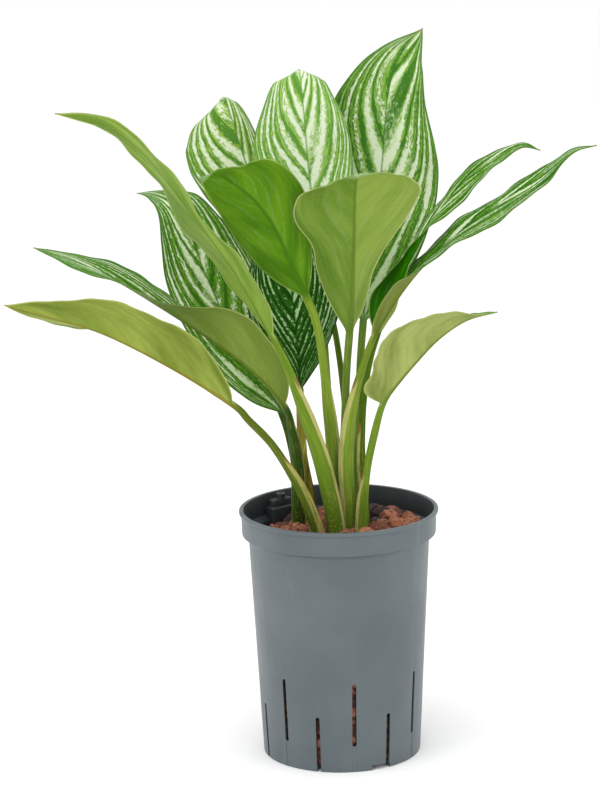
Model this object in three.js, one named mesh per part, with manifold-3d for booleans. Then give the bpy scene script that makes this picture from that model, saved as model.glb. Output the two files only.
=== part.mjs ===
// Potted aglaonema with striped leaves in a slotted grower's pot. Millimetres, +Z up.
// The origin is on the pot's axis, on the surface the pot stands on. -Y is the front.
import * as THREE from "three";
import Module from "manifold-3d";
import { mergeVertices } from "three/addons/utils/BufferGeometryUtils.js";

const wasm = await Module();
wasm.setup();

// Pot
const POT_HEIGHT = 190;
const LIP_RADIUS = 75.5;
const COLLAR_RADIUS = 73.8;
const COLLAR_BOTTOM = 171.5;
const WALL_TOP_RADIUS = 68.4;
const WALL_TOP = 167.5;
const BASE_RADIUS = 60;
const WALL = 1.8;
const LEDGE_HEIGHT = 173.2;
const FLOOR_TOP = 4.4;
const FLOOR_UNDER = 2.4;
const POT_SIDES = 42;

// Slots in the pot wall, high and low in turn
const SLOT_COUNT = 14;
const SLOT_WIDTH = 3.3;
const SLOT_FIRST_ANGLE = 8.7;
const HIGH_SLOT = [20.5, 70];
const LOW_SLOT = [-3, 43.5];
const FOOT_NOTCH_ANGLES = [29.5, 209.5];
const FOOT_NOTCH_WIDTH = 15;
const FOOT_NOTCH_HEIGHT = 3.8;

// Water gauge housing moulded inside the back left of the pot
const HOUSING_ANGLE = 132;
const HOUSING_WIDTH = 25;
const HOUSING_INNER = 61;
const HOUSING_BOTTOM = 150;
const HOUSING_STEP = 180;
const HOUSING_TOP = 185.5;
const HOUSING_REACH = LIP_RADIUS - 4.6;
const TUBE_RADIUS = 3.3;
const TUBE_BORE = 1.8;
const TUBE_TOP = 189.5;

// Clay granules
const GAP = 0.35;
const CLAY_LEVEL = 168;
const PEBBLE_PITCH = 12.6;
const PEBBLE_RADIUS = [5.2, 7.4];

// Canes: x, y, lowest z, top z, radius
const CANES = {
  front: [3, 10, 140, 200, 7],
  back: [-28, 33, 140, 186, 5.5],
};

// Leaves
const STALK_STEPS = 8;
const BLADE_STEPS = 17;
const ACROSS = [-1, -0.5, 0, 0.5, 1];
const BLADE_THICKNESS = 0.8;
const SHEATH_RADIUS = 4.3;
const STALK_RADIUS = 3.0;
const KEEL = 2.4;

// Each leaf: the cane it clasps; the number of stalk points, how stout the stalk is and the
// share of it at which its sheath ends; points along stalk and midrib;
// the way the upper face looks, from blade base to tip; half width and where along the blade
// it is reached; shares of that width and lift in degrees, base to tip, of each half;
// waves of the edge: size, count and phase. Left and right are as seen on the upper face.
const LEAVES = {
  leaf_01: {
    cane: "front", stalk: 6, stout: 1, sheath: 0.62,
    path: [[-13, -16, 152], [-16.5, -24, 177], [-28, -33, 212], [-47, -42, 248], [-65, -52, 271],
      [-77, -58, 285], [-121, -68, 316], [-168, -74, 342], [-209, -78, 356], [-238, -80, 365]],
    face: [[-0.1, 0.72, 0.7], [-0.1, 0.72, 0.7], [0, 0.9, 0.4]],
    width: 34, widest: 0.4, leftWidth: [1, 1, 1], rightWidth: [1, 1, 1],
    leftLift: [20, 22, 20], rightLift: [50, 52, 25], wave: [1.5, 3, 0.4],
  },
  leaf_02: {
    cane: "back", stalk: 5, stout: 1, sheath: 0.9,
    path: [[-31, 18, 152], [-31, 16, 177], [-31, 8, 218], [-34, 2, 248], [-40, -6, 272],
      [-64, -16, 302], [-107, -24, 337], [-158, -28, 371], [-191, -26, 387], [-221, -24, 397]],
    face: [[0.2, 0.75, 0.6], [0.1, 0.75, 0.6], [0, -0.2, 1], [0, -0.5, 0.85]],
    width: 31, widest: 0.3, leftWidth: [1.1, 1.05, 1, 0.6, 0.6, 1.3, 1.7],
    rightWidth: [1, 1, 0.75, 0.7, 0.9],
    leftLift: [22, 25, 20], rightLift: [52, 50, 20], wave: [1.5, 3, 1.2],
  },
  leaf_03: {
    cane: "front", stalk: 6, stout: 1.25, sheath: 0.82,
    path: [[-1, -18, 152], [-3, -22, 185], [-12, -31, 231], [-25, -40, 275], [-35, -46, 308],
      [-46, -52, 334], [-72, -62, 385], [-105, -70, 433], [-134, -76, 472], [-165, -80, 496],
      [-196, -84, 503]],
    face: [[0.62, 0.55, 0.5], [0.68, 0.42, 0.55], [0.6, 0.45, 0.65], [0.2, 0.8, 0.6]],
    width: 30, widest: 0.45, leftWidth: [1.1, 1.2, 0.95, 0.5, 0.5, 0.75, 0.75, 0.8, 0.9],
    rightWidth: [1, 1, 1.1, 1.4, 1, 0.75, 0.7, 0.7, 0.8],
    leftLift: [5, 5, 5], rightLift: [5, 5, 5], wave: [1.5, 4, 0],
  },
  leaf_04: {
    cane: "front", stalk: 5, stout: 0.8, sheath: 0.45,
    path: [[4, 33, 152], [6, 37, 202], [5.5, 46, 264], [-5, 58, 333], [-28, 70, 366], [-51, 82, 402],
      [-68, 92, 443], [-76, 100, 469], [-82, 110, 485], [-85, 125, 488], [-87, 139, 485]],
    face: [[-0.2, -1, 0.2], [-0.3, -1, 0.2], [-0.2, -0.4, 1]],
    width: 36, widest: 0.55, leftWidth: [1, 1.05, 1.17, 1.35, 1.1], rightWidth: [1, 0.85, 0.5, 0.4, 0.4],
    leftLift: [12, 12, 10, -5, -35], rightLift: [20, 20, 10, -10, -35], wave: [1.5, 3, 0.7],
  },
  leaf_05: {
    cane: "front", stalk: 5, stout: 1, sheath: 0.55,
    path: [[-5, 22, 152], [-4, 27, 195], [-6, 36, 249], [-9, 44, 308], [-14, 50, 369],
      [-16, 56, 409], [-19, 64, 442], [-22, 74, 483], [-24, 86, 507], [-25, 102, 511], [-26, 118, 508]],
    face: [[0, -1, 0.2], [0, -1, 0.2], [0, -0.3, 1]],
    width: 39, widest: 0.5, leftWidth: [1, 1, 1.05, 0.95, 1.3], rightWidth: [1, 0.95, 0.88, 0.8, 1.2],
    leftLift: [14, 12, 10, -5, -35], rightLift: [14, 12, 10, -5, -35], wave: [1.5, 3, 2],
  },
  leaf_06: {
    cane: "front", stalk: 5, stout: 1, sheath: 0.6,
    path: [[12, 22, 152], [14, 26, 196], [17, 36, 242], [18, 46, 287], [21, 54, 323],
      [24, 60, 350], [30, 70, 390], [37, 81, 438], [42, 92, 487], [51, 102, 517], [70, 109, 540]],
    face: [[-0.1, -1, 0.2], [-0.2, -1, 0.2], [-0.2, -1, 0.3]],
    width: 42, widest: 0.5, leftWidth: [1, 1, 1.15, 1.27, 0.95], rightWidth: [1.25, 1.2, 1.1, 1, 1.8],
    leftLift: [12, 10, 8], rightLift: [12, 12, 8], wave: [2.5, 4, 0],
  },
  leaf_07: {
    cane: "front", stalk: 6, stout: 1.12, sheath: 0.7,
    path: [[-4, -3, 152], [-3, -4, 185], [-4, -12, 238], [-9, -32, 303], [-14, -44, 341],
      [-21.5, -46, 362], [-33, -49, 388], [-43.5, -54, 414], [-57, -61, 435], [-71, -71, 449],
      [-81, -90, 458], [-88, -108, 461], [-92, -122, 457]],
    face: [[-0.3, 0.97, 0.2], [-0.4, 0.9, 0.3], [-0.35, 0.8, 0.6], [-0.1, 0.3, 0.95]],
    width: 40, widest: 0.5, leftWidth: [1, 0.95, 0.85, 0.55, 0.6], rightWidth: [0.85, 0.8, 0.7, 0.6, 0.7],
    leftLift: [35, 16, 6], rightLift: [25, 12, 6], wave: [2, 3, 0.5],
  },
  leaf_08: {
    cane: "front", stalk: 5, stout: 1, sheath: 0.6,
    path: [[12.5, 0, 152], [10, -2, 185], [6, -3, 240], [7, -13, 290], [10, -39, 332],
      [12, -49, 359], [14, -61, 405], [15, -72, 438], [16, -86, 452.5], [16, -104, 458.5],
      [16, -120, 461.5], [16, -132, 460.5]],
    face: [[0, 0.97, 0.2], [0, 0.97, 0.3], [0, 0.8, 0.6], [0, 0.2, 1]],
    width: 45, widest: 0.6, leftWidth: [0.65, 0.66, 0.57, 0.69, 0.92, 1.08, 1.08, 1.1, 1],
    rightWidth: [0.9, 0.97, 0.92, 0.81, 1, 0.9, 0.65, 0.6, 0.7],
    leftLift: [48, 33, 10, 5], rightLift: [38, 24, 0, -20], wave: [1.5, 3, 1.5],
  },
  leaf_09: {
    cane: "front", stalk: 5, stout: 1, sheath: 0.6,
    path: [[22, 8, 152], [19, 9, 198], [18, 14, 244], [22, 24, 284], [31, 33, 317],
      [46, 36, 354], [67, 40, 393], [93, 44, 425], [116, 48, 444], [140, 50, 457], [156, 48, 453]],
    face: [[-0.3, 0.8, 0.4], [-0.6, 0.1, 0.65], [-0.5, -0.4, 0.65], [-0.2, -0.4, 0.8]],
    width: 26, widest: 0.4, leftWidth: [0.9, 0.5, 0.5, 0.7], rightWidth: [1.4, 1.1, 1, 0.9],
    leftLift: [10, 8, 8], rightLift: [15, 15, 10], wave: [1.5, 3, 0],
  },
  leaf_10: {
    cane: "front", stalk: 5, stout: 1.12, sheath: 0.82,
    path: [[9, -9, 152], [8.5, -14, 190], [7, -20, 237], [14, -19, 284], [27, -1, 320], [45, 6, 350],
      [71, 8, 380], [108, 10, 409], [146, 12, 434], [175, 12, 456], [195, 12, 461]],
    face: [[-0.5, 0.7, 0.5], [-0.5, -0.1, 0.75], [-0.5, -0.4, 0.75], [-0.2, -0.4, 0.85]],
    width: 28, widest: 0.45, leftWidth: [1.1, 1.2, 0.7, 0.5, 0.4, 0.45, 0.5],
    rightWidth: [1, 1, 0.95, 0.95, 1, 1.1, 1, 0.8, 0.7],
    leftLift: [12, 10, 8], rightLift: [15, 15, 10], wave: [1.5, 4, 0.3],
  },
  leaf_11: {
    cane: "front", stalk: 5, stout: 1, sheath: 0.55,
    path: [[19, -16, 152], [18, -18, 185], [21, -24, 222], [28, -35, 258], [34, -42, 280],
      [42, -46, 293], [58, -52, 313], [75, -56, 331], [95, -60, 345], [117, -62, 351]],
    face: [[-0.3, 0.72, 0.6], [-0.3, 0.72, 0.6], [-0.3, 0.72, 0.6], [0, -0.2, 1]],
    width: 30, widest: 0.22, leftWidth: [1, 0.9, 0.9],
    rightWidth: [1.9, 0.88, 1, 1.2, 1.25, 1.2, 1.1, 1.05, 1],
    leftLift: [52, 52, 30], rightLift: [16, 20, 20], wave: [1, 3, 0],
  },
  leaf_12: {
    cane: "back", stalk: 4, stout: 1, sheath: 0.6,
    path: [[-27, 45, 152], [-30, 46, 185], [-35, 49, 223], [-43, 54, 253], [-57, 58, 277],
      [-80, 62, 316], [-98, 66, 356], [-110, 70, 388], [-121, 78, 410], [-136, 94, 417],
      [-153, 110, 416]],
    face: [[0.3, -0.9, 0.3], [0.2, -0.9, 0.3], [0.1, -0.4, 1]],
    width: 38, widest: 0.45, leftWidth: [1.3, 0.95, 0.9, 0.85, 0.8], rightWidth: [1, 1.05, 1.05, 0.95, 0.9],
    leftLift: [15, 12, 8], rightLift: [15, 12, 8], wave: [2, 3, 0],
  },
  leaf_13: {
    cane: "back", stalk: 4, stout: 1.1, sheath: 0.75,
    path: [[-20, 26, 152], [-21, 26, 185], [-27, 25, 230], [-28, 24, 276], [-29, 23, 313],
      [-33, 24, 353], [-38, 27, 395], [-42, 32, 430]],
    face: [[0.2, -0.95, 0.2], [0.2, -0.95, 0.3]],
    width: 38, widest: 0.4, leftWidth: [0.7, 0.9, 1, 1, 1], rightWidth: [0.5, 0.8, 1, 1, 1],
    leftLift: [15, 12], rightLift: [15, 12], wave: [1.5, 3, 0],
  },
};

const MATERIALS = {
  pot_plastic: new THREE.MeshStandardMaterial({ name: "pot_plastic", color: 0x68747a, roughness: 0.5 }),
  clay_granules: new THREE.MeshStandardMaterial({ name: "clay_granules", color: 0x9a5f45, roughness: 0.95 }),
  cane_bark: new THREE.MeshStandardMaterial({ name: "cane_bark", color: 0x8a8a4a, roughness: 0.8 }),
  leaf: new THREE.MeshStandardMaterial({ name: "leaf", color: 0x5f9a3c, roughness: 0.5 }),
};

// Solids from three.js shapes, and back
function toSolid(geometry) {
  let plain = geometry.clone();
  plain.deleteAttribute("normal");
  plain.deleteAttribute("uv");
  plain = mergeVertices(plain, 1e-4);
  return new wasm.Manifold(new wasm.Mesh({
    numProp: 3,
    vertProperties: new Float32Array(plain.attributes.position.array),
    triVerts: new Uint32Array(plain.index.array),
  }));
}

function toGeometry(solid) {
  const mesh = solid.getMesh();
  const geometry = new THREE.BufferGeometry();
  geometry.setAttribute("position", new THREE.BufferAttribute(new Float32Array(mesh.vertProperties), 3));
  geometry.setIndex(new THREE.BufferAttribute(new Uint32Array(mesh.triVerts), 1));
  geometry.computeVertexNormals();
  return geometry;
}

// Solid turned about the z axis from a closed outline of radius and height, corner by corner
function turned(outline, sides) {
  const points = outline.map(([radius, height]) => new THREE.Vector2(radius, height));
  points.push(points[0].clone());
  const geometry = new THREE.LatheGeometry(points, sides);
  geometry.rotateX(Math.PI / 2);
  return toSolid(geometry);
}

function block(width, depth, height, x, y, z) {
  const geometry = new THREE.BoxGeometry(width, depth, height);
  geometry.translate(x, y, z);
  return geometry;
}

function drum(radius, bottom, top, x, y, sides) {
  const geometry = new THREE.CylinderGeometry(radius, radius, top - bottom, sides);
  geometry.rotateX(Math.PI / 2);
  geometry.translate(x, y, (bottom + top) / 2);
  return geometry;
}

// Radius of the pot wall's outer face at a height below the collar
function wallRadius(z) {
  return BASE_RADIUS + (WALL_TOP_RADIUS - BASE_RADIUS) * z / WALL_TOP;
}

function potShell() {
  const inner = (z) => wallRadius(z) - WALL;
  return turned([
    [0, 0], [16, 0], [17, FLOOR_UNDER], [55, FLOOR_UNDER], [56.2, 0], [59.4, 0], [BASE_RADIUS, 0.8],
    [WALL_TOP_RADIUS, WALL_TOP], [COLLAR_RADIUS - 0.6, COLLAR_BOTTOM], [COLLAR_RADIUS, POT_HEIGHT - 3.2],
    [LIP_RADIUS - 0.3, POT_HEIGHT - 2.6], [LIP_RADIUS, POT_HEIGHT - 0.7], [LIP_RADIUS - 0.7, POT_HEIGHT],
    [LIP_RADIUS - 2.9, POT_HEIGHT], [LIP_RADIUS - 3.5, POT_HEIGHT - 0.6],
    [COLLAR_RADIUS - WALL - 0.3, LEDGE_HEIGHT + 0.4], [COLLAR_RADIUS - WALL - 0.8, LEDGE_HEIGHT],
    [inner(LEDGE_HEIGHT - 3.4), LEDGE_HEIGHT - 2.6], [inner(FLOOR_TOP + 1), FLOOR_TOP + 0.8],
    [inner(FLOOR_TOP) - 1, FLOOR_TOP], [0, FLOOR_TOP],
  ], POT_SIDES);
}

// One slot cutter standing at the front, then turned to its angle
function slotCutter(index) {
  const [bottom, top] = index % 2 === 0 ? HIGH_SLOT : LOW_SLOT;
  const half = SLOT_WIDTH / 2;
  const shape = new THREE.Shape();
  shape.moveTo(-half, bottom + half);
  shape.absarc(0, bottom + half, half, Math.PI, 2 * Math.PI, false);
  shape.absarc(0, top - half, half, 0, Math.PI, false);
  const geometry = new THREE.ExtrudeGeometry(shape, { depth: 16, bevelEnabled: false, curveSegments: 3 });
  geometry.rotateX(Math.PI / 2);
  geometry.translate(0, -54, 0);
  geometry.rotateZ(THREE.MathUtils.degToRad(SLOT_FIRST_ANGLE + index * 360 / SLOT_COUNT));
  return toSolid(geometry);
}

function notchCutter(angle) {
  const geometry = block(FOOT_NOTCH_WIDTH, 12, 2 * FOOT_NOTCH_HEIGHT, 0, -60, 0);
  geometry.rotateZ(THREE.MathUtils.degToRad(angle));
  return toSolid(geometry);
}

// Stepped block for the water gauge, grown by a margin when it clears the clay
function housing(margin) {
  const turn = THREE.MathUtils.degToRad(HOUSING_ANGLE);
  const depth = 71 - HOUSING_INNER;
  const low = block(depth + 2 * margin, HOUSING_WIDTH + 2 * margin, HOUSING_STEP - HOUSING_BOTTOM + 2 * margin,
    HOUSING_INNER + depth / 2, 0, (HOUSING_STEP + HOUSING_BOTTOM) / 2);
  low.rotateZ(turn);
  const high = block(depth - 3 + 2 * margin, HOUSING_WIDTH - 6 + 2 * margin,
    HOUSING_TOP - HOUSING_BOTTOM - 4 + 2 * margin, HOUSING_INNER + 3 + (depth - 3) / 2, 0,
    (HOUSING_TOP + HOUSING_BOTTOM + 4) / 2);
  high.rotateZ(turn);
  return toSolid(low).add(toSolid(high));
}

function gaugeTube() {
  const x = HOUSING_INNER + 5.5;
  const tube = drum(TUBE_RADIUS, HOUSING_TOP - 4, TUBE_TOP, x, 0, 16);
  const bore = drum(TUBE_BORE, TUBE_TOP - 9, TUBE_TOP + 1, x, 0, 12);
  const turn = THREE.MathUtils.degToRad(HOUSING_ANGLE);
  tube.rotateZ(turn);
  bore.rotateZ(turn);
  return [toSolid(tube), toSolid(bore)];
}

// Room inside the pot that the housing may fill: it ends halfway through the wall
function housingRoom() {
  const low = HOUSING_BOTTOM - 10;
  return turned([
    [0, low], [wallRadius(low) - WALL / 2, low], [WALL_TOP_RADIUS - WALL / 2, COLLAR_BOTTOM + 1],
    [HOUSING_REACH, COLLAR_BOTTOM + 3], [HOUSING_REACH, HOUSING_TOP + 1], [0, HOUSING_TOP + 1],
  ], POT_SIDES);
}

function makePot() {
  let pot = potShell();
  for (let index = 0; index < SLOT_COUNT; index += 1) {
    pot = pot.subtract(slotCutter(index));
  }
  for (const angle of FOOT_NOTCH_ANGLES) {
    pot = pot.subtract(notchCutter(angle));
  }
  const [tube, bore] = gaugeTube();
  return pot.add(housing(0).intersect(housingRoom())).add(tube).subtract(bore);
}

// Repeatable random numbers between 0 and 1
function seededRandom(seed) {
  let state = seed;
  return () => {
    state = (state * 1664525 + 1013904223) % 4294967296;
    return state / 4294967296;
  };
}

function pebble(random, x, y, z) {
  const radius = PEBBLE_RADIUS[0] + (PEBBLE_RADIUS[1] - PEBBLE_RADIUS[0]) * random();
  const geometry = new THREE.IcosahedronGeometry(radius, 0);
  geometry.scale(0.85 + 0.3 * random(), 0.85 + 0.3 * random(), 0.8 + 0.2 * random());
  geometry.rotateX(6 * random());
  geometry.rotateZ(6 * random());
  geometry.translate(x, y, z);
  return toSolid(geometry);
}

function makeClay(stalkHoles) {
  const inner = (z) => wallRadius(z) - WALL - GAP;
  let clay = turned([
    [0, FLOOR_TOP + GAP], [inner(FLOOR_TOP) - 1.6, FLOOR_TOP + GAP], [inner(FLOOR_TOP + 2), FLOOR_TOP + 2],
    [inner(CLAY_LEVEL), CLAY_LEVEL], [0, CLAY_LEVEL],
  ], POT_SIDES);
  const random = seededRandom(41);
  for (let ring = 0; ring < 5; ring += 1) {
    const radius = 6 + ring * PEBBLE_PITCH;
    const count = Math.round(2 * Math.PI * radius / PEBBLE_PITCH);
    for (let index = 0; index < count; index += 1) {
      const angle = 2 * Math.PI * (index + 0.6 * random()) / count + ring;
      const reach = Math.min(radius + 2.5 * (random() - 0.5), 57.5);
      const x = reach * Math.cos(angle);
      const y = reach * Math.sin(angle);
      const z = CLAY_LEVEL + 1.2 + 0.07 * x + 2.6 * (random() - 0.5);
      clay = clay.add(pebble(random, x, y, z));
    }
  }
  clay = clay.subtract(housing(GAP));
  for (const hole of stalkHoles) {
    clay = clay.subtract(hole);
  }
  const pieces = clay.decompose();
  pieces.sort((a, b) => b.volume() - a.volume());
  return pieces[0];
}

// Smooth curve through points: the place at u, where whole numbers are the points
function placeOn(points, u) {
  const index = Math.min(Math.floor(u), points.length - 2);
  const f = u - index;
  const here = points[index];
  const next = points[index + 1];
  return here.map((value, axis) => {
    const after = next[axis];
    const before = index > 0 ? points[index - 1][axis] : 2 * value - after;
    const beyond = index + 2 < points.length ? points[index + 2][axis] : 2 * after - value;
    return value + 0.5 * f * (after - before
      + f * (2 * before - 5 * value + 4 * after - beyond + f * (3 * (value - after) + beyond - before)));
  });
}

const vector = (values) => new THREE.Vector3(values[0], values[1], values[2]);

// Value from an evenly spaced list at a share from 0 to 1
function fromList(list, share) {
  const place = Math.min(Math.max(share, 0), 1) * (list.length - 1);
  const index = Math.min(Math.floor(place), list.length - 2);
  const f = place - index;
  return Array.isArray(list[0])
    ? list[index].map((value, axis) => value * (1 - f) + list[index + 1][axis] * f)
    : list[index] * (1 - f) + list[index + 1] * f;
}

// Walks the leaf's line and gives back u at equal lengths between two points
function evenSteps(points, first, last, shares) {
  const fine = 40 * (last - first);
  const lengths = [0];
  let previous = vector(placeOn(points, first));
  for (let index = 1; index <= fine; index += 1) {
    const place = vector(placeOn(points, first + (last - first) * index / fine));
    lengths.push(lengths[index - 1] + place.distanceTo(previous));
    previous = place;
  }
  return shares.map((share) => {
    const wanted = share * lengths[fine];
    let index = 1;
    while (index < fine && lengths[index] < wanted) {
      index += 1;
    }
    const part = (wanted - lengths[index - 1]) / (lengths[index] - lengths[index - 1]);
    return first + (last - first) * (index - 1 + part) / fine;
  });
}

const smooth = (from, to, value) => THREE.MathUtils.smoothstep(value, from, to);

// Half width of a blade as a share of its widest, from base to tip
function bladeOutline(t, widest) {
  return t < widest
    ? Math.sin(Math.PI / 2 * t / widest) ** 0.72
    : Math.cos(Math.PI / 2 * (t - widest) / (1 - widest)) ** 1.05;
}

// Cross-section of sheath and stalk: five points above, five below, as sideways and upward
function stalkSection(share, leaf) {
  const open = 1 - smooth(leaf.sheath - 0.2, leaf.sheath, share);
  const narrow = smooth(leaf.sheath - 0.45, leaf.sheath + 0.1, share);
  const radius = leaf.stout * (SHEATH_RADIUS + (STALK_RADIUS - SHEATH_RADIUS) * narrow);
  const sheathAbove = [[-1.2, 0.75], [-0.62, 0.3], [0, 0.1], [0.62, 0.3], [1.2, 0.75]];
  const sheathBelow = [[-1.28, 0.5], [-0.9, -0.4], [0, -0.85], [0.9, -0.4], [1.28, 0.5]];
  const roundAbove = [[-0.92, 0.3], [-0.5, 0.42], [0, 0.25], [0.5, 0.42], [0.92, 0.3]];
  const roundBelow = [[-0.95, -0.2], [-0.66, -0.75], [0, -1], [0.66, -0.75], [0.95, -0.2]];
  const mix = (a, b) => a.map((point, index) => point.map(
    (value, axis) => radius * (value * open + b[index][axis] * (1 - open))));
  return [mix(sheathAbove, roundAbove), mix(sheathBelow, roundBelow)];
}

function bladeSection(leaf, t) {
  const full = leaf.width * bladeOutline(t, leaf.widest);
  const least = Math.max(0.5, STALK_RADIUS * leaf.stout * 0.9 * (1 - 12 * t));
  const [size, count, phase] = leaf.wave;
  const above = [];
  const below = [];
  ACROSS.forEach((s) => {
    const lift = THREE.MathUtils.degToRad(fromList(s < 0 ? leaf.leftLift : leaf.rightLift, t));
    const width = Math.max(full * fromList(s < 0 ? leaf.leftWidth : leaf.rightWidth, t), least);
    const side = s < 0 ? 1 : 1.7;
    const ripple = size * s * s * Math.sin(2 * Math.PI * (count * t + phase * side)) * smooth(0, 0.2, t)
      * (1 - smooth(0.8, 1, t));
    const out = s * width * Math.cos(lift);
    const up = Math.abs(s) * width * Math.sin(lift) - 0.1 * width * s * s + ripple;
    const keel = Math.abs(s) < 0.01 ? KEEL * (1 - t) ** 1.4 : 0;
    const turn = Math.sign(s) * lift;
    above.push([out, up]);
    below.push([out + (BLADE_THICKNESS + keel) * Math.sin(turn), up - (BLADE_THICKNESS + keel) * Math.cos(turn)]);
  });
  return [above, below];
}

// Rings of points along a leaf, in world millimetres, from the sheath to the tip
function leafRings(leaf) {
  const points = leaf.path;
  const join = leaf.stalk - 1;
  const stalkShares = Array.from({ length: STALK_STEPS }, (_, index) => index / STALK_STEPS);
  const bladeShares = Array.from({ length: BLADE_STEPS + 1 }, (_, index) => {
    const even = index / BLADE_STEPS;
    return 0.5 * even + 0.25 * (1 - Math.cos(Math.PI * even));
  });
  const stations = [
    ...evenSteps(points, 0, join, stalkShares).map((u, index) => [u, stalkShares[index], -1]),
    ...evenSteps(points, join, points.length - 1, bladeShares).map((u, index) => [u, 1, bladeShares[index]]),
  ];
  const [caneX, caneY] = CANES[leaf.cane];
  const inward = [caneX - points[0][0], caneY - points[0][1], 0];
  const size = Math.hypot(inward[0], inward[1]);
  const clasp = inward.map((value) => value / size);
  return stations.map(([u, share, t]) => {
    const back = vector(placeOn(points, Math.max(u - 0.02, 0)));
    const ahead = vector(placeOn(points, Math.min(u + 0.02, points.length - 1)));
    const along = ahead.sub(back).normalize();
    const turn = smooth(0.2, 1, share);
    const hint = t < 0
      ? vector(clasp).multiplyScalar(1 - turn).addScaledVector(vector(leaf.face[0]), turn)
      : vector(fromList(leaf.face, t));
    const up = hint.addScaledVector(along, -hint.dot(along)).normalize();
    const aside = new THREE.Vector3().crossVectors(along, up);
    const place = vector(placeOn(points, u));
    const [above, below] = t < 0 ? stalkSection(share, leaf) : bladeSection(leaf, t);
    return [above, below].map((row) => row.map(
      ([out, rise]) => place.clone().addScaledVector(aside, out).addScaledVector(up, rise)));
  });
}

// Closed skin over the rings, split into triangles alike on both faces
function leafGeometry(rings) {
  const wide = ACROSS.length;
  const positions = [];
  for (const [above, below] of rings) {
    for (const point of [...above, ...below]) {
      positions.push(point.x, point.y, point.z);
    }
  }
  const above = (ring, j) => ring * 2 * wide + j;
  const below = (ring, j) => ring * 2 * wide + wide + j;
  const faces = [];
  for (let ring = 0; ring < rings.length - 1; ring += 1) {
    for (let j = 0; j < wide - 1; j += 1) {
      const [a, b, c, d] = [above(ring, j), above(ring, j + 1), above(ring + 1, j + 1), above(ring + 1, j)];
      const [e, f, g, h] = [below(ring, j), below(ring, j + 1), below(ring + 1, j + 1), below(ring + 1, j)];
      if (j < wide / 2 - 1) {
        faces.push(a, b, c, a, c, d, e, g, f, e, h, g);
      } else {
        faces.push(a, b, d, b, c, d, e, h, f, f, h, g);
      }
    }
    const [p, q, r, s] = [above(ring, 0), below(ring, 0), below(ring + 1, 0), above(ring + 1, 0)];
    faces.push(q, p, s, q, s, r);
    const last = wide - 1;
    const [k, l, m, n] = [above(ring, last), below(ring, last), below(ring + 1, last), above(ring + 1, last)];
    faces.push(k, l, m, k, m, n);
  }
  const end = rings.length - 1;
  for (let j = 0; j < wide - 1; j += 1) {
    faces.push(above(0, j), below(0, j), below(0, j + 1), above(0, j), below(0, j + 1), above(0, j + 1));
    faces.push(above(end, j), above(end, j + 1), below(end, j + 1), above(end, j), below(end, j + 1), below(end, j));
  }
  const geometry = new THREE.BufferGeometry();
  geometry.setAttribute("position", new THREE.Float32BufferAttribute(positions, 3));
  geometry.setIndex(faces);
  return geometry;
}

function makeCane(name) {
  const [x, y, bottom, top, radius] = CANES[name];
  const outline = [
    [0, bottom], [radius * 0.6, bottom], [radius * 0.9, bottom + 5], [radius, bottom + 14],
    [radius * 0.93, bottom + 30], [radius * 0.96, (bottom + 30 + top) / 2], [radius * 0.8, top - 6],
    [radius * 0.4, top], [0, top],
  ];
  const geometry = new THREE.LatheGeometry([...outline, outline[0]].map(([r, z]) => new THREE.Vector2(r, z)), 16);
  geometry.rotateX(Math.PI / 2);
  geometry.translate(x, y, 0);
  return toSolid(geometry);
}

function caneHole(name) {
  const [x, y, bottom, , radius] = CANES[name];
  return toSolid(drum(radius + GAP + 0.2, bottom - GAP, 190, x, y, 16));
}

// Hole in the clay around the foot of one leaf, leaning as the stalk does
function stalkHole(leaf) {
  const foot = vector(leaf.path[0]);
  const lean = vector(leaf.path[1]).sub(foot).normalize();
  const geometry = new THREE.CylinderGeometry(
    SHEATH_RADIUS * leaf.stout * 1.65, SHEATH_RADIUS * leaf.stout * 1.55, 60, 12);
  geometry.translate(0, 30, 0);
  geometry.applyQuaternion(new THREE.Quaternion().setFromUnitVectors(new THREE.Vector3(0, 1, 0), lean));
  foot.addScaledVector(lean, -2.5);
  geometry.translate(foot.x, foot.y, foot.z);
  return toSolid(geometry);
}

function named(name, geometry, material) {
  const mesh = new THREE.Mesh(geometry, material.clone());
  mesh.name = name;
  return mesh;
}

const part = new THREE.Group();
part.name = "potted_stripes_aglaonema";
part.add(named("pot", toGeometry(makePot()), MATERIALS.pot_plastic));
const holes = [...Object.keys(CANES).map(caneHole), ...Object.values(LEAVES).map(stalkHole)];
part.add(named("clay_granules", toGeometry(makeClay(holes)), MATERIALS.clay_granules));
for (const name of Object.keys(CANES)) {
  part.add(named(`cane_${name}`, toGeometry(makeCane(name)), MATERIALS.cane_bark));
}
for (const [name, leaf] of Object.entries(LEAVES)) {
  part.add(named(name, leafGeometry(leafRings(leaf)), MATERIALS.leaf));
}

export default part;
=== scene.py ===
"""Potted aglaonema with striped leaves in a slotted grower's pot.

Sizes are millimetres, as measured on the plant, and MM turns them into Blender's metres.
The origin is on the pot's axis, on the surface it stands on. -Y is the front.
"""
import math
import random

import bmesh
import bpy
from mathutils import Euler, Matrix, Vector, noise


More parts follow.
